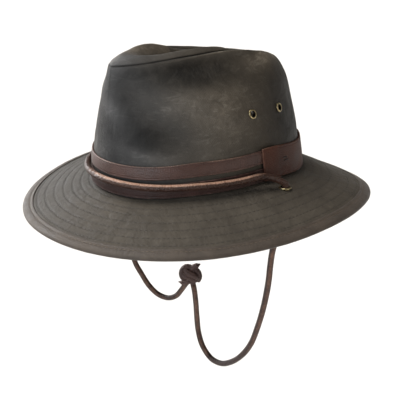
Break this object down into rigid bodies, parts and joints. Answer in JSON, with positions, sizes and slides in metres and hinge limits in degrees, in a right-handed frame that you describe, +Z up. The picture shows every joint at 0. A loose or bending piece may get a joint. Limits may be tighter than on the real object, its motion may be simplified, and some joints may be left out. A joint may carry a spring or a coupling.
{
  "type": "traveller hat",
  "caption": "Brimmed traveller hat of waxed cotton with a dented teardrop crown, strapped leather band with a wrap, brass eyelets and a knotted round leather chin cord.",
  "frame": {"origin": "middle of the head opening, level with the seam between crown and brim, where the hat sits on a head", "axes": "+Z up through the crown, -Y the front of the hat, +X the wearer's left"},
  "size_m": [0.2922, 0.3262, 0.3312],
  "materials": {
    "waxed_cotton": "waxed, dark olive brown, mottled with lighter rubbed streaks, soft sheen",
    "binding_cotton": "waxed twill strip, warmer brown",
    "band_leather": "dark reddish brown, oiled, paler rubbed edges",
    "cord_leather": "tan brown, pebbled, half gloss",
    "brass": "aged, half gloss"
  },
  "bodies": {
    "root": {"crown_side": "waxed_cotton", "crown_tip": "waxed_cotton", "brim": "waxed_cotton", "brim_binding": "binding_cotton", "band_upper": "band_leather", "band_lower": "band_leather", "band_wrap": "band_leather", "band_keeper": "band_leather", "vent_eyelet_left_front": "brass", "vent_eyelet_left_back": "brass", "vent_eyelet_right_front": "brass", "vent_eyelet_right_back": "brass", "cord_eyelet_left": "brass", "cord_eyelet_right": "brass", "front_cord": "cord_leather", "chin_cord_left": "cord_leather", "chin_cord_right": "cord_leather", "chin_knot": "cord_leather"}
  },
  "joints": []
}
